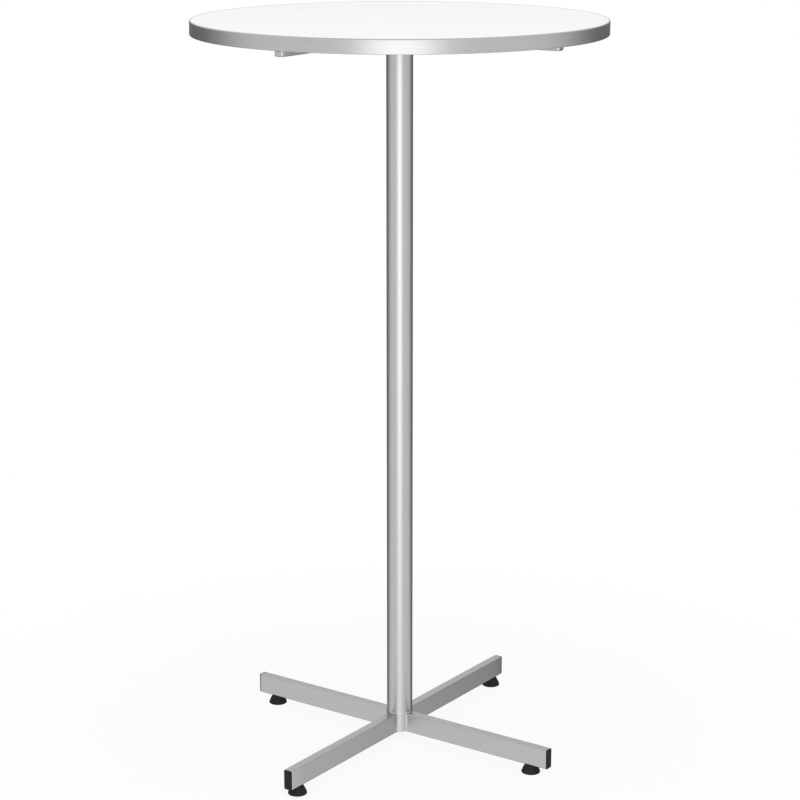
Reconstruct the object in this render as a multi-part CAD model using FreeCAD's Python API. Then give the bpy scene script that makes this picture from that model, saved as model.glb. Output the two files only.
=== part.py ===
"""Bar-height pedestal table.

A round laminated top lies on a light steel cross. One round column stands between that cross and a
heavier one on the floor, and each floor arm ends in a plastic plug and a levelling foot.

Millimetres, +Z up. The origin is on the floor, under the column's axis. The long bar of each cross
lies along Y (front and back), the short bar along X (left and right).
"""

import FreeCAD, Part
import math
import os
from FreeCAD import Vector

# Table top
TABLE_HEIGHT = 1100.0
TOP_DIAMETER = 600.0
CORE = 19.0
LAMINATE = 0.7
EDGE_BAND = 2.0
EDGE_ROUND_ABOVE = 1.6
EDGE_ROUND_BELOW = 0.9
EDGE_LAND = 0.2

# Column
COLUMN_DIAMETER = 39.0
COLUMN_WALL = 1.5
COLUMN_CHAMFER = 0.6
INSERT_LENGTH = 20.0

# Arms: how far each bar's ends stay inside the rim of the top
LONG_BAR_SETBACK = 17.0
SHORT_BAR_SETBACK = 30.0
BASE_TUBE_HEIGHT = 30.0
BASE_TUBE_WIDTH = 15.0
BASE_TUBE_WALL = 1.5
BASE_TUBE_CORNER = 2.0
TOP_TUBE_HEIGHT = 10.0
TOP_TUBE_WIDTH = 15.0
TOP_TUBE_WALL = 1.2
TOP_TUBE_CORNER = 1.6
WELD_BEAD = 2.4

# Hubs that the arms are welded to
HUB_WALL = 4.0
HUB_WEB = 12.0
HUB_CHAMFER = 0.6
HUB_LIFT = 1.0
SPIGOT_LENGTH = 12.0
SPIGOT_LEAD = 1.0

# Plugs in the tube ends
BASE_PLUG_FLANGE = 2.0
TOP_PLUG_FLANGE = 1.5
PLUG_ROUND = 0.7
PLUG_DEPTH = 13.0
PLUG_SKIN = 1.2
PLUG_FIN = 0.8
PLUG_FIN_COUNT = 3
PLUG_FIN_THICKNESS = 1.2

# Levelling feet
FOOT_HEIGHT = 13.0
LONG_BUSH_GAP = 2.5
SHORT_BUSH_GAP = 11.0
FOOT_TRAVEL = 10.0
STEM_DIAMETER = 8.0
STEM_ENGAGEMENT = 8.0
STEM_CHAMFER = 0.8
STEM_HEAD_LIP = 2.5
STEM_HEAD_HEIGHT = 4.0
STEM_HEAD_SETBACK = 1.5
BUSH_WALL = 1.5
BUSH_LENGTH = 16.0
PAD_DIAMETER = 28.0
PAD_RIM = 1.8
PAD_COLLAR = 2.6
PAD_ROUND = 0.7
PAD_STOP_GAP = 0.3

# Fasteners
BOLT_DIAMETER = 10.0
BOLT_BITE = 16.0
HEX_ACROSS_FLATS = 17.0
HEX_HEAD_HEIGHT = 6.4
WASHER_DIAMETER = 20.0
WASHER_THICKNESS = 2.0
CAP_HEAD_DIAMETER = 16.0
CAP_HEAD_HEIGHT = 10.0
CAP_HEAD_RECESS = 0.4
CAP_SOCKET_ACROSS_FLATS = 8.0
CAP_SOCKET_DEPTH = 5.0
SCREW_DIAMETER = 4.0
SCREW_HEAD_DIAMETER = 8.0
SCREW_HEAD_HEIGHT = 2.6
SCREW_HEAD_EDGE = 1.3
SCREW_HEAD_FLAT = 4.8
SCREW_TIP = 3.0
SCREW_COVER = 6.0
SCREW_OUTER_INSET = 40.0
SCREW_INNER_REACH = 95.0

# Clearances, each on the radius or on one side
FIT = 0.05
RUNNING = 0.05
HOLE_ROOM = 0.25

# How far a cutting shape runs past the faces that it cuts, and what counts as the same place
PAST = 1.0
TINY = 1e-6

# Heights of the levels that the pieces share
UNDERSIDE = TABLE_HEIGHT - CORE - 2 * LAMINATE
COLUMN_TOP = UNDERSIDE - TOP_TUBE_HEIGHT
COLUMN_FOOT = FOOT_HEIGHT + BASE_TUBE_HEIGHT

# Radii that the pieces share
TOP_RADIUS = TOP_DIAMETER / 2
CORE_RADIUS = TOP_RADIUS - EDGE_BAND
HUB_RADIUS = COLUMN_DIAMETER / 2
COLUMN_BORE = HUB_RADIUS - COLUMN_WALL
SPIGOT_RADIUS = COLUMN_BORE - FIT
BOLT_RADIUS = BOLT_DIAMETER / 2
BOLT_HOLE = BOLT_RADIUS + HOLE_ROOM
STEM_RADIUS = STEM_DIAMETER / 2
BUSH_RADIUS = STEM_RADIUS + BUSH_WALL
SCREW_RADIUS = SCREW_DIAMETER / 2
SCREW_BITE = CORE + LAMINATE - SCREW_COVER

LONG_REACH = TOP_RADIUS - LONG_BAR_SETBACK
SHORT_REACH = TOP_RADIUS - SHORT_BAR_SETBACK

# Each foot stands just inside its arm's plug, with a gap between the plug and the foot's bush
PLUG_REACH = BASE_PLUG_FLANGE + PLUG_DEPTH
LONG_FOOT = LONG_REACH - PLUG_REACH - LONG_BUSH_GAP - BUSH_RADIUS
SHORT_FOOT = SHORT_REACH - PLUG_REACH - SHORT_BUSH_GAP - BUSH_RADIUS

# Each arm: its turn about the column in degrees, its reach and its foot's distance from the axis
ARMS = {
    "right": (0, SHORT_REACH, SHORT_FOOT),
    "back": (90, LONG_REACH, LONG_FOOT),
    "left": (180, SHORT_REACH, SHORT_FOOT),
    "front": (270, LONG_REACH, LONG_FOOT),
}
UP = Vector(0, 0, 1)


# Helpers

def turned(outline):
    """Solid of revolution about Z from an outline of (radius, height) points."""
    points = [Vector(radius, 0, height) for radius, height in outline]
    wire = Part.makePolygon(points + points[:1])
    return Part.Face(wire).revolve(Vector(), UP, 360)


def rod(radius, low, high, x=0.0, y=0.0):
    """Upright cylinder between two heights, at x and y from the column's axis."""
    return Part.makeCylinder(radius, high - low, Vector(x, y, low), UP)


def round_edges(solid, radius, chosen):
    """Rounds the edges that the test picks."""
    return solid.makeFillet(radius, [edge for edge in solid.Edges if chosen(edge)])


def bar(start, end, width, low, high, corner):
    """Bar along X with a rounded rectangular section, between two heights."""
    box = Part.makeBox(end - start, width, high - low, Vector(start, -width / 2, low))
    if corner <= 0:
        return box
    return round_edges(box, corner, lambda edge: abs(edge.tangentAt(edge.FirstParameter).x) > 0.9)


def prism(across_flats, low, high):
    """Upright hexagonal prism on the column's axis."""
    corner = across_flats / math.sqrt(3)
    turns = [math.radians(60 * k) for k in range(7)]
    points = [Vector(corner * math.cos(a), corner * math.sin(a), low) for a in turns]
    return Part.Face(Part.makePolygon(points)).extrude(UP * (high - low))


def around(shape, degrees):
    """Copy of a shape that was built along +X, turned about the column's axis."""
    copy = shape.copy()
    copy.rotate(Vector(), UP, degrees)
    return copy


# Table top

def top_core():
    """Chipboard disc with pilot holes for the screws."""
    board = rod(CORE_RADIUS, UNDERSIDE + LAMINATE, TABLE_HEIGHT - LAMINATE)
    return board.cut(screw_holes(SCREW_RADIUS + FIT))


def top_laminate():
    """Decorative laminate sheet on the upper face."""
    return rod(CORE_RADIUS, TABLE_HEIGHT - LAMINATE, TABLE_HEIGHT)


def backing_laminate():
    """Balancing laminate sheet on the underside."""
    return rod(CORE_RADIUS, UNDERSIDE, UNDERSIDE + LAMINATE).cut(screw_holes(SCREW_RADIUS + FIT))


def edge_band():
    """Metal edging round the board, with both outer edges rounded, the upper one more."""
    ring = rod(TOP_RADIUS, UNDERSIDE, TABLE_HEIGHT).cut(rod(CORE_RADIUS, UNDERSIDE, TABLE_HEIGHT))
    for height, radius in ((UNDERSIDE, EDGE_ROUND_BELOW), (TABLE_HEIGHT, EDGE_ROUND_ABOVE)):
        soften = min(radius, EDGE_BAND - EDGE_LAND)
        ring = round_edges(ring, soften, lambda edge: is_rim(edge, TOP_RADIUS, height))
    return ring


def is_rim(edge, radius, height):
    """True for a circular edge of that radius at that height."""
    curve = edge.Curve
    if not isinstance(curve, Part.Circle):
        return False
    return abs(curve.Radius - radius) < TINY and abs(curve.Center.z - height) < TINY


# Screws that hold the top to its cross

def screw_places():
    """Turn about the axis and distance from it, for each screw."""
    for degrees, reach, _ in ARMS.values():
        for distance in (SCREW_INNER_REACH, reach - SCREW_OUTER_INSET):
            yield degrees, distance


def screw_holes(radius):
    """One cylinder per screw, from under the arms to the screws' tips."""
    low, high = COLUMN_TOP - SCREW_HEAD_HEIGHT, UNDERSIDE + SCREW_BITE
    return Part.makeCompound([around(rod(radius, low, high, x), turn) for turn, x in screw_places()])


def wood_screw():
    """Pan-head screw on the column's axis, with its head under the arm and its point in the board."""
    head, seat, tip = SCREW_HEAD_DIAMETER / 2, COLUMN_TOP, UNDERSIDE + SCREW_BITE
    return turned([
        (0, seat - SCREW_HEAD_HEIGHT),
        (SCREW_HEAD_FLAT / 2, seat - SCREW_HEAD_HEIGHT),
        (head, seat - SCREW_HEAD_EDGE),
        (head, seat),
        (SCREW_RADIUS, seat),
        (SCREW_RADIUS, tip - SCREW_TIP),
        (0, tip),
    ])


def top_screws():
    """All the screws, as one group of separate solids."""
    screws = []
    for degrees, distance in screw_places():
        screw = wood_screw()
        screw.translate(Vector(distance, 0, 0))
        screws.append(around(screw, degrees))
    return Part.makeCompound(screws)


# Hubs and column

def base_hub():
    """Turned hub of the floor cross: hollow below for the bolt, with a spigot that centres the column."""
    foot, seat = FOOT_HEIGHT + HUB_LIFT, COLUMN_FOOT
    cavity = HUB_RADIUS - HUB_WALL
    return turned([
        (BOLT_HOLE, seat - HUB_WEB),
        (cavity, seat - HUB_WEB),
        (cavity, foot),
        (HUB_RADIUS - HUB_CHAMFER, foot),
        (HUB_RADIUS, foot + HUB_CHAMFER),
        (HUB_RADIUS, seat - HUB_CHAMFER),
        (HUB_RADIUS - HUB_CHAMFER, seat),
        (SPIGOT_RADIUS, seat),
        (SPIGOT_RADIUS, seat + SPIGOT_LENGTH - SPIGOT_LEAD),
        (SPIGOT_RADIUS - SPIGOT_LEAD, seat + SPIGOT_LENGTH),
        (BOLT_HOLE, seat + SPIGOT_LENGTH),
    ])


def top_hub():
    """Turned hub of the upper cross, with a counterbore for the cap screw and a spigot into the column."""
    seat, low = COLUMN_TOP, COLUMN_TOP - SPIGOT_LENGTH
    counterbore = CAP_HEAD_DIAMETER / 2 + HOLE_ROOM
    shelf = UNDERSIDE - CAP_HEAD_HEIGHT - CAP_HEAD_RECESS
    return turned([
        (BOLT_HOLE, low),
        (SPIGOT_RADIUS - SPIGOT_LEAD, low),
        (SPIGOT_RADIUS, low + SPIGOT_LEAD),
        (SPIGOT_RADIUS, seat),
        (HUB_RADIUS - HUB_CHAMFER, seat),
        (HUB_RADIUS, seat + HUB_CHAMFER),
        (HUB_RADIUS, UNDERSIDE),
        (counterbore, UNDERSIDE),
        (counterbore, shelf),
        (BOLT_HOLE, shelf),
    ])


def column_tube():
    """Round steel tube between the two hubs, with both outer rims chamfered."""
    inner, outer = COLUMN_BORE, HUB_RADIUS
    return turned([
        (inner, COLUMN_FOOT),
        (outer - COLUMN_CHAMFER, COLUMN_FOOT),
        (outer, COLUMN_FOOT + COLUMN_CHAMFER),
        (outer, COLUMN_TOP - COLUMN_CHAMFER),
        (outer - COLUMN_CHAMFER, COLUMN_TOP),
        (inner, COLUMN_TOP),
    ])


def column_insert(low):
    """Tapped steel disc welded inside the column, against a spigot."""
    high = low + INSERT_LENGTH
    return rod(SPIGOT_RADIUS, low, high).cut(rod(BOLT_RADIUS + FIT, low, high))


def lower_insert():
    """Tapped disc at the foot of the column."""
    return column_insert(COLUMN_FOOT + SPIGOT_LENGTH)


def upper_insert():
    """Tapped disc at the head of the column."""
    return column_insert(COLUMN_TOP - SPIGOT_LENGTH - INSERT_LENGTH)


def base_bolt():
    """Hexagon bolt that pulls the column down on the floor cross."""
    washer_low = COLUMN_FOOT - HUB_WEB - WASHER_THICKNESS
    head = prism(HEX_ACROSS_FLATS, washer_low - HEX_HEAD_HEIGHT, washer_low)
    shank = rod(BOLT_RADIUS, washer_low, COLUMN_FOOT + SPIGOT_LENGTH + BOLT_BITE)
    return head.fuse(shank).removeSplitter()


def base_washer():
    """Plain washer under the web of the floor hub."""
    high = COLUMN_FOOT - HUB_WEB
    low = high - WASHER_THICKNESS
    return rod(WASHER_DIAMETER / 2, low, high).cut(rod(BOLT_HOLE, low, high))


def top_bolt():
    """Socket cap screw that pulls the upper cross down on the column."""
    shelf = UNDERSIDE - CAP_HEAD_HEIGHT - CAP_HEAD_RECESS
    crown = shelf + CAP_HEAD_HEIGHT
    head = rod(CAP_HEAD_DIAMETER / 2, shelf, crown)
    socket = prism(CAP_SOCKET_ACROSS_FLATS, crown - CAP_SOCKET_DEPTH, crown)
    shank = rod(BOLT_RADIUS, COLUMN_TOP - SPIGOT_LENGTH - BOLT_BITE, shelf)
    return head.cut(socket).fuse(shank).removeSplitter()


# Arms of the two crosses, built along +X

def welded_tube(end, width, low, high, wall, corner):
    """Rectangular tube coped to the hub, with a bead of weld down each side of the joint."""
    outside = bar(0, end, width, low, high, corner)
    inside = bar(-PAST, end + PAST, width - 2 * wall, low + wall, high - wall, corner - wall)
    hub = rod(HUB_RADIUS, low - PAST, high + PAST)
    tube = outside.cut(inside).cut(hub)
    root = math.sqrt(HUB_RADIUS**2 - width**2 / 4)
    beads = []
    for side in (-1, 1):
        bead = rod(WELD_BEAD, low + corner, high - corner, root, side * width / 2)
        beads.append(bead.cut(hub).cut(outside))
    return tube.fuse(beads).removeSplitter()


def base_arm(reach, foot):
    """Floor arm, with a hole in its lower wall for the foot's bush."""
    end = reach - BASE_PLUG_FLANGE
    arm = welded_tube(end, BASE_TUBE_WIDTH, FOOT_HEIGHT, COLUMN_FOOT, BASE_TUBE_WALL, BASE_TUBE_CORNER)
    return arm.cut(rod(BUSH_RADIUS, FOOT_HEIGHT - PAST, FOOT_HEIGHT + BUSH_LENGTH, foot))


def top_arm(reach):
    """Upper arm, with through holes for its screws."""
    end = reach - TOP_PLUG_FLANGE
    arm = welded_tube(end, TOP_TUBE_WIDTH, COLUMN_TOP, UNDERSIDE, TOP_TUBE_WALL, TOP_TUBE_CORNER)
    for distance in (SCREW_INNER_REACH, reach - SCREW_OUTER_INSET):
        arm = arm.cut(rod(SCREW_RADIUS + HOLE_ROOM, COLUMN_TOP - PAST, UNDERSIDE + PAST, distance))
    return arm


def tube_plug(reach, flange, width, low, high, wall, corner):
    """Moulded plug: a soft-edged flange over the tube's end and a hollow finned shank inside it."""
    seat = reach - flange
    cap = bar(seat, reach, width, low, high, corner)
    cap = round_edges(cap, PLUG_ROUND, lambda edge: edge.BoundBox.XMin > reach - TINY)
    room = wall + FIT

    def slab(start, end, inset):
        return bar(start, end, width - 2 * inset, low + inset, high - inset, max(corner - inset, 0))

    shank = slab(seat - PLUG_DEPTH, seat, room + PLUG_FIN)
    pitch = PLUG_DEPTH / PLUG_FIN_COUNT
    fins = []
    for k in range(PLUG_FIN_COUNT):
        start = seat - (k + 1) * pitch
        fins.append(slab(start, start + PLUG_FIN_THICKNESS, room))
    hollow = slab(seat - PLUG_DEPTH, seat, room + PLUG_FIN + PLUG_SKIN)
    return cap.fuse([shank] + fins).cut(hollow).removeSplitter()


def base_plug(reach):
    """Plug of a floor arm."""
    return tube_plug(
        reach, BASE_PLUG_FLANGE, BASE_TUBE_WIDTH, FOOT_HEIGHT, COLUMN_FOOT, BASE_TUBE_WALL, BASE_TUBE_CORNER
    )


def top_plug(reach):
    """Plug of an upper arm."""
    return tube_plug(
        reach, TOP_PLUG_FLANGE, TOP_TUBE_WIDTH, COLUMN_TOP, UNDERSIDE, TOP_TUBE_WALL, TOP_TUBE_CORNER
    )


# Levelling feet, built on the column's axis

def foot_bush():
    """Tapped bush set into the arm's lower wall."""
    low, high = FOOT_HEIGHT, FOOT_HEIGHT + BUSH_LENGTH
    return rod(BUSH_RADIUS, low, high).cut(rod(STEM_RADIUS + RUNNING, low, high))


def foot_stem():
    """Screw of a foot: a round head held in the pad and a shank up into the bush."""
    low = STEM_HEAD_SETBACK
    shoulder = low + STEM_HEAD_HEIGHT
    tip = FOOT_HEIGHT + FOOT_TRAVEL + STEM_ENGAGEMENT
    return turned([
        (0, low),
        (STEM_RADIUS + STEM_HEAD_LIP, low),
        (STEM_RADIUS + STEM_HEAD_LIP, shoulder),
        (STEM_RADIUS, shoulder),
        (STEM_RADIUS, tip - STEM_CHAMFER),
        (STEM_RADIUS - STEM_CHAMFER, tip),
        (0, tip),
    ])


def foot_pad():
    """Moulded conical pad, turned by hand, with a recess for the head of the stem."""
    crown = FOOT_HEIGHT - PAD_STOP_GAP
    bore = STEM_RADIUS + RUNNING
    recess = STEM_RADIUS + STEM_HEAD_LIP + RUNNING
    roof = STEM_HEAD_SETBACK + STEM_HEAD_HEIGHT + RUNNING
    cone = turned([
        (recess, 0),
        (PAD_DIAMETER / 2, 0),
        (PAD_DIAMETER / 2, PAD_RIM),
        (STEM_RADIUS + PAD_COLLAR, crown),
        (bore, crown),
        (bore, roof),
        (recess, roof),
    ])
    for height in (0, PAD_RIM):
        cone = round_edges(cone, PAD_ROUND, lambda edge: is_rim(edge, PAD_DIAMETER / 2, height))
    return cone


def pieces():
    """Every piece by name, in its place on the table."""
    yield "top_core", top_core()
    yield "top_laminate", top_laminate()
    yield "backing_laminate", backing_laminate()
    yield "edge_band", edge_band()
    yield "top_screws", top_screws()
    yield "top_hub", top_hub()
    yield "top_bolt", top_bolt()
    yield "column_tube", column_tube()
    yield "upper_insert", upper_insert()
    yield "lower_insert", lower_insert()
    yield "base_hub", base_hub()
    yield "base_bolt", base_bolt()
    yield "base_washer", base_washer()
    for side, (turn, reach, foot) in ARMS.items():
        yield "top_arm_" + side, around(top_arm(reach), turn)
        yield "top_plug_" + side, around(top_plug(reach), turn)
        yield "base_arm_" + side, around(base_arm(reach, foot), turn)
        yield "base_plug_" + side, around(base_plug(reach), turn)
        for name, shape in (("bush", foot_bush()), ("stem", foot_stem()), ("pad", foot_pad())):
            shape.translate(Vector(foot, 0, 0))
            yield "foot_" + name + "_" + side, around(shape, turn)


def main():
    """Writes each piece to its own file."""
    os.makedirs("parts", exist_ok=True)
    for name, shape in pieces():
        shape.exportStep("parts/" + name + ".step")
        print(name, "solids", len(shape.Solids), "valid", shape.isValid(), "volume", round(shape.Volume, 1))


main()
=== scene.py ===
# %% [markdown]
# # A bar-height pedestal table
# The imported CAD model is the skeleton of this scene. Its solids are exact, but they arrive as loose
# flat triangles, so each surface that shows gets a smooth piece of its own. The pieces are worked out
# with numpy in the frame of the CAD model: +Z up, the origin on the floor under the column.

import math

import bmesh
import bpy
import numpy as np
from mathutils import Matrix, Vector


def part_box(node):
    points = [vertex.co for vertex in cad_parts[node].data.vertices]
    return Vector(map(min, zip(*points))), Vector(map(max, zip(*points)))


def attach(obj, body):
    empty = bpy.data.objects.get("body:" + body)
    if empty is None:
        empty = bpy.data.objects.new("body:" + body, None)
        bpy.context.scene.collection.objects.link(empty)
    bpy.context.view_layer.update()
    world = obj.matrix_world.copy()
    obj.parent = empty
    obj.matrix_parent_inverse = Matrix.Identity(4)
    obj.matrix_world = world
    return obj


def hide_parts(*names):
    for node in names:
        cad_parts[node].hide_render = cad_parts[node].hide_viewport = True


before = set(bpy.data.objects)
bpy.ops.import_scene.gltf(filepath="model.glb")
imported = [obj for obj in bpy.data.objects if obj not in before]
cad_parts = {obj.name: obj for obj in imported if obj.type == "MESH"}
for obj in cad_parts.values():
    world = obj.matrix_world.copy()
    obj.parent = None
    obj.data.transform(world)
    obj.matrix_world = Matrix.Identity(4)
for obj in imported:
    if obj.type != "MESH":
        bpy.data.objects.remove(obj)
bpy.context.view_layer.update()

# %% [markdown]
# ## Camera
# The photograph looks at the table from the front right, a little above the height of the top. A camera
# can be placed by eye, or solved from edges whose real place is known. Here the edges of the top, the
# column and the floor arms were matched to the CAD model, which gave the distance, the turn, the tilt
# and the focal length.

# %% Camera
IMAGE_PIXELS = 800
FOCAL_PIXELS = 2284.16
CAMERA_REACH = 3.29420
CAMERA_TURN = 0.61067
CAMERA_TILT = 0.25437
CAMERA_HEIGHT = 1.39344
CAMERA_SWING = -0.00013


def add_object(name, data):
    """Puts a new object into the scene."""
    made = bpy.data.objects.new(name, data)
    bpy.context.scene.collection.objects.link(made)
    return made


camera = add_object("photo_camera", bpy.data.cameras.new("photo_camera"))
camera.data.lens = camera.data.sensor_width * FOCAL_PIXELS / IMAGE_PIXELS
towards_camera = math.sin(CAMERA_TURN) - 1j * math.cos(CAMERA_TURN)
camera_foot = CAMERA_REACH * towards_camera
camera.location = (camera_foot.real, camera_foot.imag, CAMERA_HEIGHT)
camera.rotation_euler = (math.pi / 2 - CAMERA_TILT, 0, CAMERA_TURN + CAMERA_SWING)
bpy.context.scene.camera = camera
bpy.context.scene.view_settings.view_transform = "Standard"
print("camera at", tuple(round(v, 3) for v in camera.location), "lens", round(camera.data.lens, 2))

# %% [markdown]
# ## Reckoning with sockets
# A finish is a small sum: so much noise, so much streak, times a depth. Node trees hide such sums in
# wires, so one class wraps a socket and lets Python's own operators add the Math nodes. Every other
# node comes from its node method, which sets the settings first and then fills or links the sockets.

# %% Signals
class Signal:
    """A socket of a node tree that can be reckoned with; each operator adds one Math node."""

    def __init__(self, tree, socket=None):
        self.tree = tree
        self.socket = socket

    def node(self, kind, settings=None, inputs=None, output=0):
        """Adds a node: its settings, then its sockets' values or links. Gives one of its outputs."""
        made = self.tree.nodes.new("ShaderNode" + kind)
        for key, value in (settings or {}).items():
            setattr(made, key, value)
        for key, value in (inputs or {}).items():
            if isinstance(value, Signal):
                self.tree.links.new(value.socket, made.inputs[key])
            else:
                made.inputs[key].default_value = value
        return Signal(self.tree, made.outputs[output] if made.outputs else None)

    def reckon(self, operation, first, second):
        """One Math node on two values or signals."""
        return self.node("Math", {"operation": operation}, {0: first, 1: second})

    def __add__(self, other):
        return self.reckon("ADD", self, other)

    def __sub__(self, other):
        return self.reckon("SUBTRACT", self, other)

    def __rsub__(self, other):
        return self.reckon("SUBTRACT", other, self)

    def __mul__(self, other):
        return self.reckon("MULTIPLY", self, other)

    __radd__ = __add__
    __rmul__ = __mul__

    def noise(self, scale, detail=2.0):
        """Cloudy noise from 0 to 1, with so many lumps to a metre."""
        return self.node("TexNoise", None, {"Vector": self, "Scale": scale, "Detail": detail})

    def stretched(self, x, y, z):
        """The same coordinates with each axis scaled."""
        return self.node("Mapping", None, {"Vector": self, "Scale": (x, y, z)})

    def between(self, low, high):
        """Smooth step from 0 at low to 1 at high."""
        steps = {"interpolation_type": "SMOOTHSTEP"}
        return self.node("MapRange", steps, {"Value": self, "From Min": low, "From Max": high})

    def blend(self, first, second):
        """Mixes two colours by this signal."""
        return self.node("Mix", {"data_type": "RGBA"}, {0: self, 6: first, 7: second}, 2)

    def relief(self, depth, strength=1.0):
        """Surface normal for a height of this signal times a depth in metres."""
        return self.node("Bump", None, {"Height": self, "Distance": depth, "Strength": strength})


print("signals add their own Math nodes")

# %% [markdown]
# ## Meshes from grids
# Each piece is a grid of points: a profile carried round an axis, or a section carried along a bar. The
# grid is worked out as one array, and its cells become the faces. Where a row shrinks to a point, as at
# the middle of a disc, the equal points are merged, so the skin is closed and the face there is a
# triangle. A closed outline repeats its first point at its end, and merging closes that seam as well.

# %% Grid helpers
MM = 0.001
SHARP = math.radians(40)
MERGE = 1e-7
MARGIN_SHARE = 0.1


def cells(rows, columns):
    """Four corner numbers for each cell of a grid whose columns close into a ring."""
    index = np.arange(rows * columns).reshape(rows, columns)
    index = np.concatenate([index, index[:, :1]], axis=1)
    corners = [index[:-1, :-1], index[:-1, 1:], index[1:, 1:], index[1:, :-1]]
    return np.stack(corners, axis=-1).reshape(-1, 4)


def grid_mesh(name, grids):
    """One mesh from grids of points in millimetres, welded, smooth and with its faces outwards."""
    points, faces, count = [], [], 0
    for grid in grids:
        points.append(grid.reshape(-1, 3))
        faces.append(cells(grid.shape[0], grid.shape[1]) + count)
        count += len(points[-1])
    mesh = bpy.data.meshes.new(name)
    mesh.from_pydata((np.concatenate(points) * MM).tolist(), [], np.concatenate(faces).tolist())
    work = bmesh.new()
    work.from_mesh(mesh)
    bmesh.ops.remove_doubles(work, verts=work.verts, dist=MERGE)
    bmesh.ops.recalc_face_normals(work, faces=work.faces)
    work.to_mesh(mesh)
    work.free()
    mesh.shade_smooth()
    mesh.set_sharp_from_angle(angle=SHARP)
    return mesh


def lathe(profile, columns=96, at=0j):
    """Surface of revolution: each profile point, radius + height * 1j, goes round the upright axis."""
    turn = at + profile.real[:, None] * np.exp(2j * np.pi * np.arange(columns) / columns)
    height = np.broadcast_to(profile.imag[:, None], turn.shape)
    return np.stack([turn.real, turn.imag, height], axis=-1)


def eased(corners, radii, steps=4, hold=0.3, share=0.48):
    """Closed outline with round corners. Each corner becomes the arc that touches both of its sides,
    with one more point on the side before it and after it, at most a tenth of the side away, so that
    the flats shade as flats. No arc takes more than that share of a side. The last point is the
    first."""
    point = np.asarray(corners, complex)
    back = np.roll(point, 1) - point
    ahead = np.roll(point, -1) - point
    side = np.minimum(abs(back), abs(ahead))
    back, ahead = back / abs(back), ahead / abs(ahead)
    half = abs(np.angle(ahead / back)) / 2
    radius = np.minimum(radii, share * side * np.tan(half))
    middle = point + (back + ahead) / abs(back + ahead) * radius / np.sin(half)
    first = point + back * radius / np.tan(half)
    last = point + ahead * radius / np.tan(half)
    sweep = np.angle((last - middle) / (first - middle))
    part = np.linspace(0, 1, steps + 1)
    arc = middle[:, None] + (first - middle)[:, None] * np.exp(1j * sweep[:, None] * part)
    margin = np.minimum(hold, MARGIN_SHARE * side)
    before = (first + back * margin)[:, None]
    after = (last + ahead * margin)[:, None]
    outline = np.concatenate([before, arc, after], axis=1).ravel()
    return np.append(outline, outline[0])


print("grid helpers ready")

# %% [markdown]
# ## Studio
# The photograph has a pure white ground, a soft bright stripe down the front of each round metal part
# and dark flanks. A photographer gets that in a tent of white paper: soft boxes light it, a bright
# strip hangs on the camera's side, and the walls are graduated to dark towards the back. High up they
# stay light, and so does the wall straight behind the table from knee height up, which the flat tops of
# the arms reflect. The world and the floor look white to the camera and to reflections, and the floor
# still takes the table's shadow.

# %% White surroundings
AMBIENT = 0.62
WHITE = (1, 1, 1, 1)


def looked_at(signal):
    """1 for what is seen, directly, in a reflection or through glass; 0 for light that only fills."""
    camera_ray = signal.node("LightPath", output="Is Camera Ray")
    glossy_ray = signal.node("LightPath", output="Is Glossy Ray")
    through_ray = signal.node("LightPath", output="Is Transmission Ray")
    either = signal.reckon("MAXIMUM", camera_ray, glossy_ray)
    return signal.reckon("MAXIMUM", either, through_ray)


world = bpy.data.worlds.new("studio")
bpy.context.scene.world = world
world.use_nodes = True
world.node_tree.nodes.clear()
sky = Signal(world.node_tree)
fill = sky.node("Background", None, {"Color": WHITE, "Strength": AMBIENT})
shown = sky.node("Background", None, {"Color": WHITE, "Strength": 1.0})
either_light = sky.node("MixShader", None, {0: looked_at(sky), 1: fill, 2: shown})
sky.node("OutputWorld", None, {"Surface": either_light})
print("world fills at", AMBIENT, "and looks white")

# %% Floor
FLOOR_RINGS = np.array([6000, 1800, 900, 400, 0]) - 0.3j
FLOOR_TONE = (0.94, 0.94, 0.94, 1)
FLOOR_LIFT = 0.88
FLOOR_FADE = (0.35, 0.9)


def start_finish(name):
    """A material with an empty node tree, and its first signal: the piece's own coordinates in metres.
    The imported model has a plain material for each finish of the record, and that one is used again."""
    material = bpy.data.materials.get(name) or bpy.data.materials.new(name)
    material.use_nodes = True
    material.node_tree.nodes.clear()
    return material, Signal(material.node_tree).node("TexCoord", output="Object")


paper, place = start_finish("floor_paper")
away = place.node("VectorMath", {"operation": "LENGTH"}, {0: place}, "Value")
white_share = FLOOR_LIFT + (1 - FLOOR_LIFT) * away.between(*FLOOR_FADE)
grain = place.noise(scale=400.0).relief(depth=0.0001)
matt = place.node("BsdfDiffuse", None, {"Color": FLOOR_TONE, "Normal": grain})
bright = place.node("Emission", None, {"Color": WHITE, "Strength": 1.0})
upper = place.node("MixShader", None, {0: white_share * looked_at(place), 1: matt, 2: bright})
from_below = place.node("NewGeometry", output="Backfacing")
clear = place.node("BsdfTransparent")
one_sided = place.node("MixShader", None, {0: from_below, 1: upper, 2: clear})
place.node("OutputMaterial", None, {"Surface": one_sided})

floor = add_object("floor", grid_mesh("floor", [lathe(FLOOR_RINGS)]))
floor.data.materials.append(paper)
if floor.data.polygons[0].normal.z < 0:
    floor.data.flip_normals()
floor.visible_glossy = False
print("floor faces up:", floor.data.polygons[0].normal.z > 0)

# %% Soft boxes
FRONT_REACH = 3.4
FRONT_HEIGHT = 1.6
FRONT_TARGET = (0, 0, 0.7)
FRONT_BOX = (0.9, 1.6)
FRONT_POWER = 30.0
TOP_PLACE = (0.2, -0.3, 3.4)
TOP_TARGET = (0, 0, 1.0)
TOP_BOX = (2.4, 2.4)
TOP_POWER = 27.0


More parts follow.
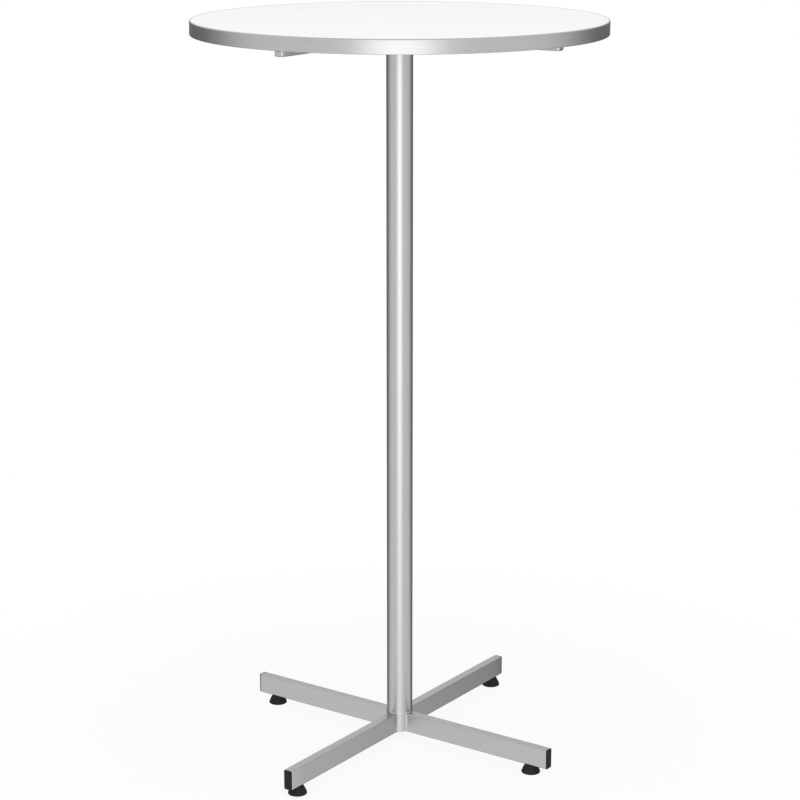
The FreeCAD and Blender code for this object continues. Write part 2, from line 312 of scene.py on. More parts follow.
def soft_box(name, where, target, size, power):
    """Area lamp that faces a target. It lights the scene; the tent gives the reflections."""
    lamp = bpy.data.lights.new(name, "AREA")
    lamp.shape = "RECTANGLE"
    lamp.size, lamp.size_y = size
    lamp.energy = power
    holder = add_object(name, lamp)
    holder.location = where
    holder.rotation_euler = (Vector(target) - Vector(where)).to_track_quat("-Z", "Y").to_euler()
    holder.visible_camera = False
    holder.visible_glossy = False


front_foot = FRONT_REACH * towards_camera
front_place = (front_foot.real, front_foot.imag, FRONT_HEIGHT)
soft_box("front_box", front_place, FRONT_TARGET, FRONT_BOX, FRONT_POWER)
soft_box("top_box", TOP_PLACE, TOP_TARGET, TOP_BOX, TOP_POWER)
print("two soft boxes of", FRONT_POWER, "and", TOP_POWER, "watts")

# %% Paper tent
TENT_WALL = np.array([2200 - 5000j, 2200 + 3400j])
TENT_DARK = (0.16, 0.16, 0.16, 1)
# Fades round the tent go from the first angle to the second, in degrees from the camera's side.
# Fades up the wall go from the first level to the second, in metres.
LOW_FLANK = (99, 127)
HIGH_FLANK = (75, 134)
FLANK_LEAN = 0.05
FLANK_CHANGE = (-0.95, -0.5)
FLANK_HEAD = (1.6, 1.2)
FLANK_OVERHEAD = 0.1
BACK_SIDES = (156, 170)
BACK_FOOT = (0.1, 0.6)
BACK_LIGHT = 0.83
STRIP_STRENGTH = 2.66
STRIP_SIDES = (24, 5)
STRIP_FOOT = (-1.8, 0.9)
STRIP_HEAD = (2.0, 0.5)


def round_from_front(facing, start, stop):
    """Smooth step from 0 at the first angle to 1 at the second: facing is the cosine of the angle."""
    return facing.between(math.cos(math.radians(start)), math.cos(math.radians(stop)))


tent_paper, place = start_finish("tent_paper")
flat = place.node("VectorMath", {"operation": "MULTIPLY"}, {0: place, 1: (1, 1, 0)}, "Vector")
outward = place.node("VectorMath", {"operation": "NORMALIZE"}, {0: flat}, "Vector")
front = (towards_camera.real, towards_camera.imag, 0)
facing = place.node("VectorMath", {"operation": "DOT_PRODUCT"}, {0: outward, 1: front}, "Value")
level = place.node("SeparateXYZ", None, {0: place}, "Z")
by_floor = round_from_front(facing, *LOW_FLANK)
higher = round_from_front(facing - FLANK_LEAN * level, *HIGH_FLANK)
flank = by_floor + (higher - by_floor) * level.between(*FLANK_CHANGE)
flank = flank * (FLANK_OVERHEAD + (1 - FLANK_OVERHEAD) * level.between(*FLANK_HEAD))
behind = round_from_front(facing, *BACK_SIDES) * level.between(*BACK_FOOT)
strip = round_from_front(facing, *STRIP_SIDES) * level.between(*STRIP_FOOT) * level.between(*STRIP_HEAD)
white = place.node("Emission", None, {"Color": WHITE, "Strength": 1.0})
dark = place.node("Emission", None, {"Color": TENT_DARK, "Strength": 1.0})
lamp = place.node("Emission", None, {"Color": WHITE, "Strength": STRIP_STRENGTH})
wall = place.node("MixShader", None, {0: flank * (1 - BACK_LIGHT * behind), 1: white, 2: dark})
lit_wall = place.node("MixShader", None, {0: strip, 1: wall, 2: lamp})
place.node("OutputMaterial", None, {"Surface": lit_wall})
tent_paper.cycles.emission_sampling = "NONE"

tent = add_object("tent", grid_mesh("tent", [lathe(TENT_WALL)]))
tent.data.materials.append(tent_paper)
tent.visible_camera = False
tent.visible_diffuse = False
tent.visible_shadow = False
tent.visible_transmission = False
print("tent wall of", len(tent.data.polygons), "faces, seen in reflections only")

# %% [markdown]
# ## Finishes
# Every finish has one Principled shader. What is the same all over is set on its sockets; what varies
# is a signal. All patterns read object coordinates, so grain keeps its real size on a large piece and
# on a small one, and two pieces of one finish match.

# %% Finish helper
def close_finish(material, place, sockets):
    """Adds the Principled shader with these sockets and joins it to the output."""
    shader = place.node("BsdfPrincipled", None, sockets)
    place.node("OutputMaterial", None, {"Surface": shader})
    print("finish", material.name, "with", len(material.node_tree.nodes), "nodes")
    return material


def grey(value, warmth=0.0):
    """A neutral colour, a little yellower for positive warmth."""
    return (value * (1 + warmth), value, value * (1 - 2 * warmth), 1)


# %% [markdown]
# ### White laminate and its backing
# The top is pressed melamine: white, satin, with a very fine pearl in the surface that breaks up
# reflections. Two noises do it: a fine one for the pearl and a broad one that lets the white drift by a
# hair. The balancing sheet underneath is the same stuff with a rougher, paper-like face.

# %% White laminate and backing sheet
SHEET_WHITES = grey(0.901, 0.006), grey(0.888, 0.007)
BACKING_WHITES = grey(0.82, 0.004), grey(0.79, 0.006)


def laminate(name, light, dark, gloss, pearl):
    """Pressed sheet: a fine pearl in the relief and in the gloss, and a broad drift of the white."""
    material, place = start_finish(name)
    fine = place.noise(scale=2600.0, detail=3.0)
    broad = place.noise(scale=9.0, detail=4.0)
    return close_finish(material, place, {
        "Base Color": broad.between(0.3, 0.7).blend(light, dark),
        "Roughness": gloss + 0.10 * fine + 0.04 * broad,
        "Specular IOR Level": 0.35,
        "Normal": fine.relief(depth=pearl, strength=0.5),
    })


white_laminate = laminate("white_laminate", *SHEET_WHITES, gloss=0.40, pearl=0.00002)
laminate("backing_sheet", *BACKING_WHITES, gloss=0.55, pearl=0.00005)

# %% [markdown]
# ### Brushed edge trim
# The rim of the top is edged with aluminium-look trim, brushed along its length. Brushing leaves fine
# level scratches of uneven depth. Noise squeezed hard in height and stretched along the rim gives such
# lines all round the circle with no seam, which a pattern on an unrolled strip would have.

# %% Edge aluminium
SILVER_TONES = grey(0.435), grey(0.505)

material, place = start_finish("edge_aluminium")
hairs = place.stretched(5.0, 5.0, 2600.0).noise(scale=1.0, detail=4.0)
bands = place.stretched(3.0, 3.0, 420.0).noise(scale=1.0)
streak = 0.6 * hairs + 0.4 * bands
edge_aluminium = close_finish(material, place, {
    "Base Color": streak.between(0.25, 0.75).blend(*SILVER_TONES),
    "Metallic": 1.0,
    "Roughness": 0.27 + 0.10 * hairs,
    "Normal": streak.relief(depth=0.000006, strength=0.6),
})

# %% [markdown]
# ### Silver powder coat
# Column, hubs and arms share one coat of silver-grey powder. Powder melts into a skin with a faint
# orange peel, and its aluminium flakes lie at odd angles, so single grains catch the light or stay dull.
# Noise gives the peel. The random colour of Voronoi cells a third of a millimetre wide paints those
# glints into the colour as lighter and darker grains, and the same cells vary the gloss and the relief.

# %% Silver coat
material, place = start_finish("silver_coat")
peel = place.noise(scale=420.0)
cell_colour = place.node("TexVoronoi", None, {"Vector": place, "Scale": 3000.0}, "Color")
flake_and_glint = place.node("SeparateColor", None, {"Color": cell_colour}, "Red")
silver_coat = close_finish(material, place, {
    # Painted glints: the flake cells make single grains of the coat lighter or darker in its colour.
    "Base Color": (0.7 * flake_and_glint + 0.3 * peel).blend(*SILVER_TONES),
    "Metallic": 1.0,
    "Roughness": 0.27 + 0.06 * flake_and_glint + 0.05 * peel,
    "Normal": (peel + 0.15 * flake_and_glint).relief(depth=0.00002, strength=0.35),
})

# %% [markdown]
# ### Moulded plastic
# Plugs and pads are moulded from polyethylene in a lightly eroded tool: a fine, even grain with a soft
# sheen. The floor parts are black all through. The upper plugs are lacquered silver to match the tubes.

# %% Black and grey plastic
BARE_GRAIN = 0.00006
LACQUERED_GRAIN = 0.00002


def moulded(name, light, dark, gloss, level, metal=0.0):
    """Moulded plastic: a fine grain in the relief and the gloss, and a slight flow drift in the colour.
    With metal at 1 it is the same moulding under a silver lacquer, which fills most of the grain."""
    material, place = start_finish(name)
    grain = place.noise(scale=1500.0, detail=3.0)
    flow = place.noise(scale=60.0)
    return close_finish(material, place, {
        "Base Color": flow.between(0.3, 0.7).blend(light, dark),
        "Roughness": gloss + 0.14 * grain,
        "Metallic": metal,
        "Specular IOR Level": level,
        "Normal": grain.relief(depth=LACQUERED_GRAIN if metal else BARE_GRAIN, strength=0.5),
    })


black_plastic = moulded("black_plastic", grey(0.017), grey(0.012), gloss=0.42, level=0.15)
grey_plastic = moulded("grey_plastic", grey(0.49), grey(0.45), gloss=0.24, level=0.50, metal=1.0)

# %% [markdown]
# ### Plated and turned steel
# Screws, bolts and foot stems are bright zinc: a cloudy, slightly blue and yellow metal. The bushes and
# the tapped discs are bare steel with the fine rings that a lathe tool leaves, one to each feed of the
# tool.

# %% Zinc and bare steel
BLUE_ZINC = (0.60, 0.61, 0.64, 1)
YELLOW_ZINC = (0.60, 0.58, 0.53, 1)
CLEAN_STEEL = (0.46, 0.46, 0.47, 1)
STAINED_STEEL = (0.40, 0.39, 0.37, 1)

material, place = start_finish("zinc_steel")
cloud = place.noise(scale=220.0, detail=3.0)
speck = place.noise(scale=1800.0)
zinc_steel = close_finish(material, place, {
    "Base Color": cloud.between(0.35, 0.65).blend(BLUE_ZINC, YELLOW_ZINC),
    "Metallic": 1.0,
    "Roughness": 0.26 + 0.14 * cloud + 0.06 * speck,
    "Normal": speck.relief(depth=0.00001, strength=0.4),
})

material, place = start_finish("bare_steel")
feed = place.stretched(20.0, 20.0, 5000.0).noise(scale=1.0)
stain = place.noise(scale=90.0, detail=3.0)
bare_steel = close_finish(material, place, {
    "Base Color": stain.between(0.35, 0.7).blend(CLEAN_STEEL, STAINED_STEEL),
    "Metallic": 1.0,
    "Roughness": 0.30 + 0.18 * feed,
    "Normal": feed.relief(depth=0.00001, strength=0.6),
})

# %% [markdown]
# ### Chipboard
# The core of the top is particle board. It is closed in on all sides, but a part that is cut open or
# shown in pieces should still look right: pressed chips a few millimetres long, lying flat, in several
# browns.

# %% Chipboard
DARK_CHIP = (0.42, 0.29, 0.17, 1)
LIGHT_CHIP = (0.72, 0.58, 0.40, 1)

material, place = start_finish("chipboard")
lying = place.stretched(1.0, 1.0, 3.0)
chip_colour = lying.node("TexVoronoi", None, {"Vector": lying, "Scale": 260.0}, "Color")
chip = place.node("SeparateColor", None, {"Color": chip_colour}, "Red")
dust = place.noise(scale=900.0, detail=4.0)
close_finish(material, place, {
    "Base Color": (0.7 * chip + 0.3 * dust).blend(DARK_CHIP, LIGHT_CHIP),
    "Roughness": 0.80 + 0.15 * dust,
    "Specular IOR Level": 0.2,
    "Normal": (chip + dust).relief(depth=0.0001, strength=0.6),
})

# %% [markdown]
# ## Placing pieces
# A new piece takes its size and place from the box of the CAD node that it stands for, so it follows
# the CAD model. Arms, plugs and screws are worked out along +X and then turned by quarter turns. The
# feet are round, so they are only moved to their places.

# %% Placing helpers
QUARTER_TURNS = {"right": 0, "back": 1, "left": 2, "front": 3}


def extent(node, quarters=0):
    """Lowest and highest corner of a CAD node in millimetres, after turning it back to +X."""
    low, high = (np.array(corner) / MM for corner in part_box(node))
    plan = np.array([low[0] + 1j * low[1], high[0] + 1j * high[1]]) * 1j ** (-quarters)
    lowest = np.array([plan.real.min(), plan.imag.min(), low[2]])
    highest = np.array([plan.real.max(), plan.imag.max(), high[2]])
    return lowest, highest


def turned_to(grid, quarters):
    """The same points after so many quarter turns about the column."""
    plan = (grid[..., 0] + 1j * grid[..., 1]) * 1j ** quarters
    return np.stack([plan.real, plan.imag, grid[..., 2]], axis=-1)


def add_piece(name, grids, finish, node, body="frame"):
    """Makes the piece from its grids, hangs it on its body and lets it stand for its CAD node."""
    piece = add_object(name, grid_mesh(name, grids))
    piece.data.materials.append(finish)
    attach(piece, body)
    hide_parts(node)
    piece.data.calc_loop_triangles()
    print(name, len(piece.data.loop_triangles), "triangles on", body)


# %% [markdown]
# ## Table top
# The white sheet is a disc with a hair of a bevel where it was trimmed. It could be a plain circle, but
# then no line would show between white and metal. The edging is a ring: a rectangle with rounded outer
# corners, carried round the rim. It stands a hair proud of the sheet, and this low step is the thin
# dark line along the far rim.

# %% Top sheet and edge trim
BAND_ROUND_ABOVE = 1.6
BAND_ROUND_BELOW = 0.9
BAND_PROUD = 0.25
JOINT_EASE = 0.08
SHEET_RINGS = 10
FLAT_SHARE = 0.97


def ring_corners(inner, outer, low, high):
    """Corners of a plain ring's section, radius + height * 1j, from the lower inner one round."""
    return np.array([inner, outer, outer, inner]) + 1j * np.array([low, low, high, high])


def disc_profile(radius, low, high, ease):
    """Thin round sheet: out along its bottom, round the eased rim and back along its top."""
    corners = [1j * low, radius + 1j * low, radius + 1j * high, 1j * high]
    rim = eased(corners, ease)[:-1].reshape(4, -1)
    flat = np.linspace(0, FLAT_SHARE, SHEET_RINGS) * radius
    return np.concatenate([flat + 1j * low, rim[1], rim[2], flat[::-1] + 1j * high])


sheet_low, sheet_high = extent("top_laminate")
sheet_profile = disc_profile(sheet_high[0], sheet_low[2], sheet_high[2] - BAND_PROUD, JOINT_EASE)
add_piece("top_sheet", [lathe(sheet_profile, columns=240)], white_laminate, "top_laminate")

band_low, band_high = extent("edge_band")
band_corners = ring_corners(sheet_high[0], band_high[0], band_low[2], band_high[2])
band_ease = [JOINT_EASE, BAND_ROUND_BELOW, BAND_ROUND_ABOVE, JOINT_EASE]
band_profile = eased(band_corners, band_ease, steps=6, hold=0.05, share=0.85)
add_piece("edge_trim", [lathe(band_profile, columns=360)], edge_aluminium, "edge_band")

# %% [markdown]
# ## Column and hubs
# One straight tube and two turned hubs. All three are rings: the outline of the wall carried round the
# axis. The rims are eased like a sawn and deburred tube. Where the column stands on the floor cross,
# powder gathers in a small flare, and that is what catches the light there as a thin line.

# %% Column
COLUMN_WALL = 1.5
FOOT_FLARE = 1.2
FLARE_LIP = 0.2
FLARE_SWEEP = 2.0
RIM_EASE = 0.6
SEAM_EASE = 0.1
ROUND_COLUMNS = 128

tube_low, tube_high = extent("column_tube")
column_radius, column_foot, column_head = tube_high[0], tube_low[2], tube_high[2]
bore = column_radius - COLUMN_WALL
column_corners = [
    bore + 1j * column_foot, column_radius + FOOT_FLARE + 1j * column_foot,
    column_radius + 1j * (column_foot + FOOT_FLARE),
    column_radius + 1j * column_head, bore + 1j * column_head,
]
column_ease = [SEAM_EASE, FLARE_LIP, FLARE_SWEEP, RIM_EASE, SEAM_EASE]
column_grid = lathe(eased(column_corners, column_ease), ROUND_COLUMNS)
add_piece("column", [column_grid], silver_coat, "column_tube")

# %% Hubs
SPIGOT_GAP = 0.05
SPIGOT_LEAD = 1.0
BOLT_HOLE = 5.25
HUB_WALL = 4.0
HUB_WEB = 12.0
COUNTERBORE = 8.25
COUNTERBORE_DEPTH = 10.4
HOLE_EASE = 0.2
CAVITY_EASE = 0.4

spigot = bore - SPIGOT_GAP
cavity = column_radius - HUB_WALL
web = column_foot - HUB_WEB
hub_low, hub_high = extent("base_hub")
floor_hub_corners = [
    BOLT_HOLE + 1j * web, cavity + 1j * web, cavity + 1j * hub_low[2], column_radius + 1j * hub_low[2],
    column_radius + 1j * column_foot, spigot + 1j * column_foot, spigot + 1j * hub_high[2],
    BOLT_HOLE + 1j * hub_high[2],
]
floor_hub_ease = [
    HOLE_EASE, CAVITY_EASE, CAVITY_EASE, RIM_EASE, RIM_EASE, SEAM_EASE, SPIGOT_LEAD, HOLE_EASE,
]
floor_hub_grid = lathe(eased(floor_hub_corners, floor_hub_ease), ROUND_COLUMNS)
add_piece("floor_hub", [floor_hub_grid], silver_coat, "base_hub")

hub_low, hub_high = extent("top_hub")
shelf = hub_high[2] - COUNTERBORE_DEPTH
upper_hub_corners = [
    BOLT_HOLE + 1j * hub_low[2], spigot + 1j * hub_low[2], spigot + 1j * column_head,
    column_radius + 1j * column_head, column_radius + 1j * hub_high[2], COUNTERBORE + 1j * hub_high[2],
    COUNTERBORE + 1j * shelf, BOLT_HOLE + 1j * shelf,
]
upper_hub_ease = [
    HOLE_EASE, SPIGOT_LEAD, SEAM_EASE, RIM_EASE, SEAM_EASE, SEAM_EASE, SEAM_EASE, HOLE_EASE,
]
upper_hub_grid = lathe(eased(upper_hub_corners, upper_hub_ease), ROUND_COLUMNS)
add_piece("upper_hub", [upper_hub_grid], silver_coat, "top_hub")

# %% [markdown]
# ## Arms
# The arms are rectangular tube with small round corners, cut hollow at one end so that they hug the
# hub, and welded there down both sides. A box with a bevel would do for the straight part, but not for
# the hollow cut. So a section is carried along the arm, and its first rows slide along X onto the
# cylinder of the hub. At the open end the saw and the plug leave the two sides drawn in a little. The
# weld is ground smooth under the powder: a hollow fillet in the corner between hub and arm.

# %% Bar and weld helpers
HOLD_SHARE = 0.4
COPE_MARGIN = 0.5
DRAW_ROWS = 8
SAWN_ROWS = 3
FILLET_POINTS = 9
RIPPLE_ROWS = 6


def bar_rows(x, inset, width, depth, corner, middle, steps=5, hold=0.4):
    """Rows of a bar along X. Row i is the rectangle width by depth with round corners, drawn in by
    inset[i], at x[i]. Each corner is a quarter circle with one more point on each flat beside it."""
    inset = np.asarray(inset, float)[:, None, None]
    half_width, half_depth = width / 2 - inset, depth / 2 - inset
    narrow = np.minimum(half_width, half_depth)
    radius = np.clip(corner - inset, 0, narrow)
    quarter = np.arange(4)[:, None] * np.pi / 2
    turn = quarter + np.concatenate([[0], np.linspace(0, np.pi / 2, steps + 1), [np.pi / 2]])
    slide = np.concatenate([[-1], np.zeros(steps + 1), [1]])
    margin = np.minimum(hold, HOLD_SHARE * (narrow - radius))
    diagonal = quarter + np.pi / 4
    side = np.sign(np.cos(diagonal)) * (half_width - radius)
    level = np.sign(np.sin(diagonal)) * (half_depth - radius)
    section = side + 1j * level + np.exp(1j * turn) * (radius + 1j * margin * slide)
    section = section.reshape(len(inset), -1)
    along = np.broadcast_to(np.asarray(x, float)[:, None], section.shape)
    return np.stack([along, section.real, middle + section.imag], axis=-1)


def coped_tube(end, low, high, radius, width, wall, corner, draw, ease=0.4, bite=0.2):
    """Tube against a hub of that radius: out along its outer skin, over the eased sawn end and back
    along its inner skin. Towards the end the two sides draw in with the square of the way, draw[0] over
    a length of draw[1]. The rows at the hub slide along X onto its cylinder, and a bite further in."""
    way = np.linspace(0, 1, DRAW_ROWS)
    bend = np.linspace(0, np.pi / 2, SAWN_ROWS + 1)[1:]
    skin = end - ease - draw[1] * (1 - way)
    x = np.concatenate([[0, COPE_MARGIN], skin, end - ease + ease * np.sin(bend), [end, 0, 0]])
    inset = np.concatenate([[0, 0], 0 * way, ease - ease * np.cos(bend), [wall, wall, 0]])
    slim = np.concatenate([[0, 0], way**2, np.ones(SAWN_ROWS), [1, 0, 0]])
    rows = bar_rows(x, inset, width, high - low, corner, (low + high) / 2)
    rows[..., 1] *= 1 - slim[:, None] * draw[0] / (width / 2)
    at_hub = (x <= COPE_MARGIN)[:, None]
    rows[..., 0] += at_hub * (np.sqrt(radius**2 - rows[..., 1]**2) - bite)
    return rows


def weld_fillet(radius, edge, low, high, size, pitch=1.6, depth=0.04, end=1.5, sunk=0.5):
    """Weld along an arm's side: the arc of that size that touches the hub's circle and the straight
    side at y = edge, closed behind at its root, sunk into the metal, and carried up. It dips a little
    between the ripples, and at both ends it shrinks to the root like half a ball."""
    middle = math.sqrt((radius + size)**2 - (edge + size)**2) + 1j * (edge + size)
    turn = np.linspace(np.angle(-middle), -np.pi / 2, FILLET_POINTS)
    root = math.sqrt(radius**2 - edge**2) + 1j * (edge - sunk)
    section = np.append(middle + size * np.exp(1j * turn), root)
    height = np.linspace(low, high, int((high - low) / pitch * RIPPLE_ROWS))
    near = np.clip(np.minimum(height - low, high - height) / end, 0, 1)
    ripple = 1 - depth * np.abs(np.sin(np.pi * (height - low) / pitch))
    swell = np.sqrt(1 - (1 - near)**2) * ripple
    plan = root + swell[:, None] * (section - root)
    level = np.broadcast_to(height[:, None], plan.shape)
    return np.stack([plan.real, plan.imag, level], axis=-1)


print("bar, cope and weld helpers ready")

# %% Floor arms and upper arms
WELD_SIZE = 4.0
PLUG_NOSE = {"base": 1.5, "top": 4.0}
TUBES = {
    "base": {"width": 15.0, "wall": 1.5, "corner": 2.0, "draw": (0.7, 26.0)},
    "top": {"width": 15.0, "wall": 1.2, "corner": 1.6, "draw": (0.4, 20.0)},
}


def tube_end(kind, side):
    """Where a tube stops: at the end of its plug, less the plug's nose."""
    return extent(kind + "_plug_" + side, QUARTER_TURNS[side])[1][0] - PLUG_NOSE[kind]


def arm_grids(kind, side):
    """One arm and its two welds, turned to its side."""
    tube, quarters = TUBES[kind], QUARTER_TURNS[side]
    arm_low, arm_high = extent(kind + "_arm_" + side, quarters)
    low, high = arm_low[2], arm_high[2]
    edge, corner = tube["width"] / 2, tube["corner"]
    weld = weld_fillet(column_radius, edge, low + corner, high - corner, WELD_SIZE)
    tube_rows = coped_tube(tube_end(kind, side), low, high, column_radius, **tube)
    grids = [tube_rows, weld, weld * np.array([1, -1, 1])]
    return [turned_to(grid, quarters) for grid in grids]


for kind in TUBES:
    for side in QUARTER_TURNS:
        add_piece(kind + "_tube_" + side, arm_grids(kind, side), silver_coat, kind + "_arm_" + side)

# %% [markdown]
# ## Plugs
# Each open tube end is closed by a moulded plug: a flange with a soft rim, and a shank with three fins
# that grip inside. A black flange below shows as a thin dark line where its arm is seen from the side.
# The upper plugs have a full round nose. A plug is the same section as the tube, drawn in row by row,
# and at the middle of its slightly crowned face it closes along a line.

# %% Plugs
PLUG_ROUND = {"base": 0.5, "top": 3.0}
PLUG_CROWN = 0.15
SHANK_DEPTH = 13.0
SHANK_GAP = 0.05
FINS = 3
FIN_DEPTH = 0.8
FIN_LENGTH = 1.2
RIM_ROWS = 6
FACE_ROWS = 6


def plug_rows(seat, reach, low, high, rim, width, wall, corner, draw):
    """Plug from its inner end to its face, as rows of place along X and inset: the shank, with a step
    out and in at every fin, the flange, the quarter circle of its rim and the crowned face. Its sides
    are brought in as far as those of the tube's end."""
    narrow = min(width, high - low) / 2
    tight = wall + SHANK_GAP
    loose = tight + FIN_DEPTH
    fin_start = seat - SHANK_DEPTH * np.arange(FINS, 0, -1) / FINS
    fin_x = fin_start[:, None] + np.array([0, 0, FIN_LENGTH, FIN_LENGTH])
    fin_inset = np.broadcast_to([loose, tight, tight, loose], fin_x.shape)
    bend = np.linspace(0, np.pi / 2, RIM_ROWS)
    edge = reach - PLUG_CROWN
    rim_x = edge - rim + rim * np.sin(bend)
    rim_inset = rim - rim * np.cos(bend)
    face_inset = np.linspace(rim, narrow, FACE_ROWS + 1)[1:]
    share = (face_inset - rim) / (narrow - rim)
    face_x = edge + PLUG_CROWN * (1 - (1 - share)**2)
    x = np.concatenate([fin_start[:1], fin_x.ravel(), [seat, seat], rim_x, face_x])
    inset = np.concatenate([[narrow], fin_inset.ravel(), [loose, 0], rim_inset, face_inset])
    rows = bar_rows(x, inset, width, high - low, corner, (low + high) / 2)
    rows[..., 1] *= 1 - draw[0] / (width / 2)
    return rows


def plug_grid(kind, side):
    """One plug in the end of its arm, turned to its side."""
    quarters = QUARTER_TURNS[side]
    plug_low, plug_high = extent(kind + "_plug_" + side, quarters)
    reach, low, high = plug_high[0], plug_low[2], plug_high[2]
    rows = plug_rows(tube_end(kind, side), reach, low, high, PLUG_ROUND[kind], **TUBES[kind])
    return turned_to(rows, quarters)


for kind, finish in (("base", black_plastic), ("top", grey_plastic)):
    for side in QUARTER_TURNS:
        add_piece(kind + "_cap_" + side, [plug_grid(kind, side)], finish, kind + "_plug_" + side)

# %% [markdown]
# ## Levelling feet
# A foot is a black cone with a threaded stem in it. Turning the cone screws the stem in or out of a
# bush in the arm, a pitch for each turn, so uneven floors don't make the table rock. The cone is a
# turned outline with two grip grooves underneath. The stem's thread is real relief: its radius is a
# cosine of the height less the turn, so one ridge climbs round it.

# %% Foot cones
PAD_RIM = 1.8
PAD_NECK = 8.8
PAD_SHOULDER = (11.9, 6.8)
PAD_RECESS = 6.55
PAD_ROOF = 5.55
STEM_BORE = 4.05
GRIP_AT = (8.5, 11.0)
GRIP_STEPS = np.array([0, 0.3, 1.0, 1.3])
GRIP_DEPTHS = 0.5 * np.array([0, 1, 1, 0])
GRIP_EASE = 0.1
RECESS_EASE = 0.2
PAD_EASE = [0.7, 1.2, 8.0, 1.0, 0.2, 0.1, RECESS_EASE]


def pad_profile(radius, low, high):
    """Outline of the foot: the grooved underside, the rim, the dome, the neck and the recess."""
    grooves = []
    for start in GRIP_AT:
        grooves.extend(start + GRIP_STEPS + 1j * (low + GRIP_DEPTHS))
    rim = [radius + 1j * low, radius + 1j * (low + PAD_RIM)]
    shoulder = PAD_SHOULDER[0] + 1j * (low + PAD_SHOULDER[1])
    dome = [shoulder, PAD_NECK + 1j * high, STEM_BORE + 1j * high]
    hollow = [STEM_BORE + 1j * (low + PAD_ROOF), PAD_RECESS + 1j * (low + PAD_ROOF)]
    corners = [PAD_RECESS + 1j * low] + grooves + rim + dome + hollow
    ease = [RECESS_EASE] + [GRIP_EASE] * len(grooves) + PAD_EASE
    return eased(corners, ease, steps=5)


foot_places = {}
for side in QUARTER_TURNS:
    pad_low, pad_high = extent("foot_pad_" + side)
    middle = (pad_low + pad_high) / 2
    foot_places[side] = middle[0] + 1j * middle[1]
    profile = pad_profile((pad_high[0] - pad_low[0]) / 2, pad_low[2], pad_high[2])
    cone_grid = lathe(profile, columns=72, at=foot_places[side])
    add_piece("foot_cone_" + side, [cone_grid], black_plastic, "foot_pad_" + side, "pad_" + side)

# %% Stems and bushes
THREAD_PITCH = 1.25
THREAD_DEPTH = 0.6
THREAD_ROWS = 10
THREAD_RUNOUT = 2.0
STEM_RADIUS = 4.0
STEM_HEAD = 6.5
STEM_BEVEL = 0.3
STEM_SHOULDER = 4.0
STEM_MARGIN = 0.1
STEM_POINT = 0.8
BUSH_RADIUS = 5.5
BUSH_PROUD = 0.1
BUSH_EASE = 0.25


def stem_grid(at, low, high, columns=40):
    """Head, shoulder and threaded shank. The shank's radius is its full radius less the thread's depth
    times half of one plus the cosine of a full turn per pitch of height, less the turn round the axis.
    The thread runs out above the shoulder, and the tip narrows to a point."""
    shoulder = low + STEM_SHOULDER
    bevelled = STEM_HEAD - STEM_BEVEL
    head_height = np.array([low, low, low + STEM_BEVEL, shoulder - STEM_BEVEL, shoulder, shoulder])
    head = np.array([0, bevelled, STEM_HEAD, STEM_HEAD, bevelled, STEM_RADIUS]) + 1j * head_height
    height = np.arange(shoulder + STEM_MARGIN, high - STEM_MARGIN, THREAD_PITCH / THREAD_ROWS)
    point = np.clip(high - height, 0, STEM_POINT) - STEM_POINT
    shank = STEM_RADIUS + point + 1j * height
    tip = np.array([STEM_RADIUS - STEM_POINT + 1j * high, 1j * high])
    grid = lathe(np.concatenate([head, shank, tip]), columns)
    turn = 2 * np.pi * np.arange(columns) / columns
    wave = 0.5 + 0.5 * np.cos(2 * np.pi * height[:, None] / THREAD_PITCH - turn)
    fade = np.clip((height - shoulder) / THREAD_RUNOUT, 0, 1)[:, None]
    shrink = 1 - THREAD_DEPTH * wave * fade / STEM_RADIUS
    grid[len(head):-len(tip), :, :2] *= shrink[..., None]
    return grid + np.array([at.real, at.imag, 0])


for side, at in foot_places.items():
    stem_low, stem_high = extent("foot_stem_" + side)
    screw_grid = stem_grid(at, stem_low[2], stem_high[2])
    add_piece("foot_screw_" + side, [screw_grid], zinc_steel, "foot_stem_" + side, "stem_" + side)
    bush_low, bush_high = extent("foot_bush_" + side)
    bush_corners = ring_corners(STEM_BORE, BUSH_RADIUS, bush_low[2] - BUSH_PROUD, bush_high[2])
    bush_grid = lathe(eased(bush_corners, BUSH_EASE), columns=48, at=at)
    add_piece("foot_nut_" + side, [bush_grid], bare_steel, "foot_bush_" + side)

# %% [markdown]
# ## Fasteners
# Eight screws with low, sunk heads hold the top to its cross, and one hexagon bolt with a washer pulls
# the column down on the floor cross. They show only from below. The cross recess is pressed into the
# head, where either coordinate is small. The hexagon's radius is half its width across the flats over
# the cosine of the angle from the middle of a flat, and a cone takes off its corners.

# %% Screws in the board
SCREW_INNER = 95.0
SCREW_OUTER_INSET = 40.0
SCREW_HEAD = 4.0
SCREW_SHANK = 2.0
SCREW_POINT = 3.0
HEAD_RISE = 0.6
HEAD_EDGE = 0.2
DOME_ROWS = 15
RECESS_DEPTH = 0.5
SLOT_HALF = 0.65
SLOT_SLOPE = 0.3
SLOT_REACH = 2.4
SLOT_END = 0.5


def sunk_screw(face, seat, tip):
    """Screw on the axis: a domed head, a straight shank and a point. The dome is a quarter of an
    ellipse, and a cross is sunk into it where the smaller coordinate lies in the slot and the larger
    one in its reach."""
    bend = np.linspace(0, np.pi / 2, DOME_ROWS)
    dome = SCREW_HEAD * np.sin(bend) + 1j * (face + (seat - HEAD_EDGE - face) * (1 - np.cos(bend)))
    shank_height = np.array([seat, seat, tip - SCREW_POINT, tip])
    shank = np.array([SCREW_HEAD, SCREW_SHANK, SCREW_SHANK, 0]) + 1j * shank_height
    grid = lathe(np.concatenate([dome, shank]), columns=72)
    plan = np.sort(abs(grid[:DOME_ROWS, :, :2]), axis=-1)
    across = np.clip((SLOT_HALF - plan[..., 0]) / SLOT_SLOPE, 0, 1)
    along = np.clip((SLOT_REACH - plan[..., 1]) / SLOT_END, 0, 1)
    grid[:DOME_ROWS, :, 2] += RECESS_DEPTH * (across * along)
    return grid


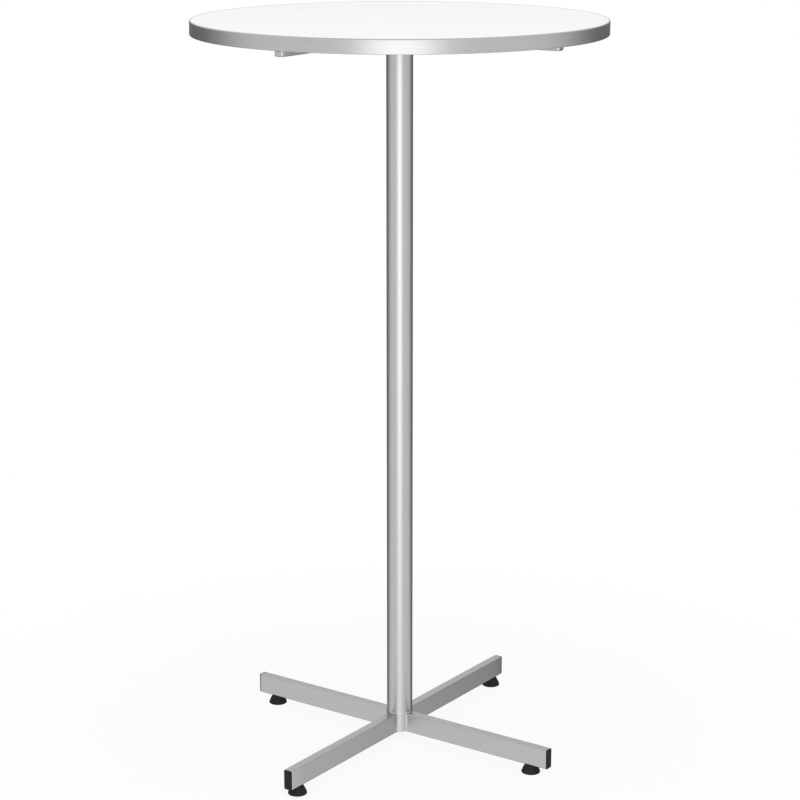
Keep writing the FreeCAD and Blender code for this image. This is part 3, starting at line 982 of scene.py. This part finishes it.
screw_tip = extent("top_screws")[1][2]
screw = sunk_screw(column_head - HEAD_RISE, column_head, screw_tip)
screws = []
for side, quarters in QUARTER_TURNS.items():
    reach = extent("top_plug_" + side, quarters)[1][0]
    for distance in (SCREW_INNER, reach - SCREW_OUTER_INSET):
        screws.append(turned_to(screw + np.array([distance, 0, 0]), quarters))
add_piece("board_screws", screws, zinc_steel, "top_screws")

# %% Bolt and washer under the floor hub
ACROSS_FLATS = 17.0
BOLT_RADIUS = 5.0
BOLT_CHAMFER = 0.8
FACE_SHARE = 0.47
TRIM_ANGLE = math.pi / 6
WASHER_RADIUS = 10.0
WASHER_EASE = 0.3


def hex_bolt(face, seat, tip, columns=72):
    """Bolt on the axis as rows of radius and height: the face, the cone that trims the corners, the six
    flats, the seat and the shank."""
    turn = 2 * np.pi * np.arange(columns) / columns
    rim = ACROSS_FLATS / 2 / np.cos(turn % (np.pi / 3) - np.pi / 6)
    circle = FACE_SHARE * ACROSS_FLATS
    trimmed = face + (rim - circle) * math.tan(TRIM_ANGLE)
    rows = [
        (0, face), (circle, face), (rim, trimmed), (rim, seat), (BOLT_RADIUS, seat),
        (BOLT_RADIUS, tip - BOLT_CHAMFER), (BOLT_RADIUS - BOLT_CHAMFER, tip), (0, tip),
    ]
    radius = np.stack([np.broadcast_to(row[0], columns) for row in rows])
    height = np.stack([np.broadcast_to(row[1], columns) for row in rows])
    return np.stack([radius * np.cos(turn), radius * np.sin(turn), height], axis=-1)


bolt_low, bolt_high = extent("base_bolt")
washer_low, washer_high = extent("base_washer")
add_piece("hub_bolt", [hex_bolt(bolt_low[2], washer_low[2], bolt_high[2])], zinc_steel, "base_bolt")
washer_corners = ring_corners(BOLT_HOLE, WASHER_RADIUS, washer_low[2], washer_high[2])
washer_grid = lathe(eased(washer_corners, WASHER_EASE), columns=64)
add_piece("hub_washer", [washer_grid], zinc_steel, "base_washer")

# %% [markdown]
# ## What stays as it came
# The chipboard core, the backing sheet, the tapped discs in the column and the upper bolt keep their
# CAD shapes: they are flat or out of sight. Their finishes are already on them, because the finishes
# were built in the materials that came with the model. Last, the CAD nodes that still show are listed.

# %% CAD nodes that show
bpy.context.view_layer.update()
kept = sorted(name for name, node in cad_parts.items() if not node.hide_render)
print("CAD nodes that show:", kept)
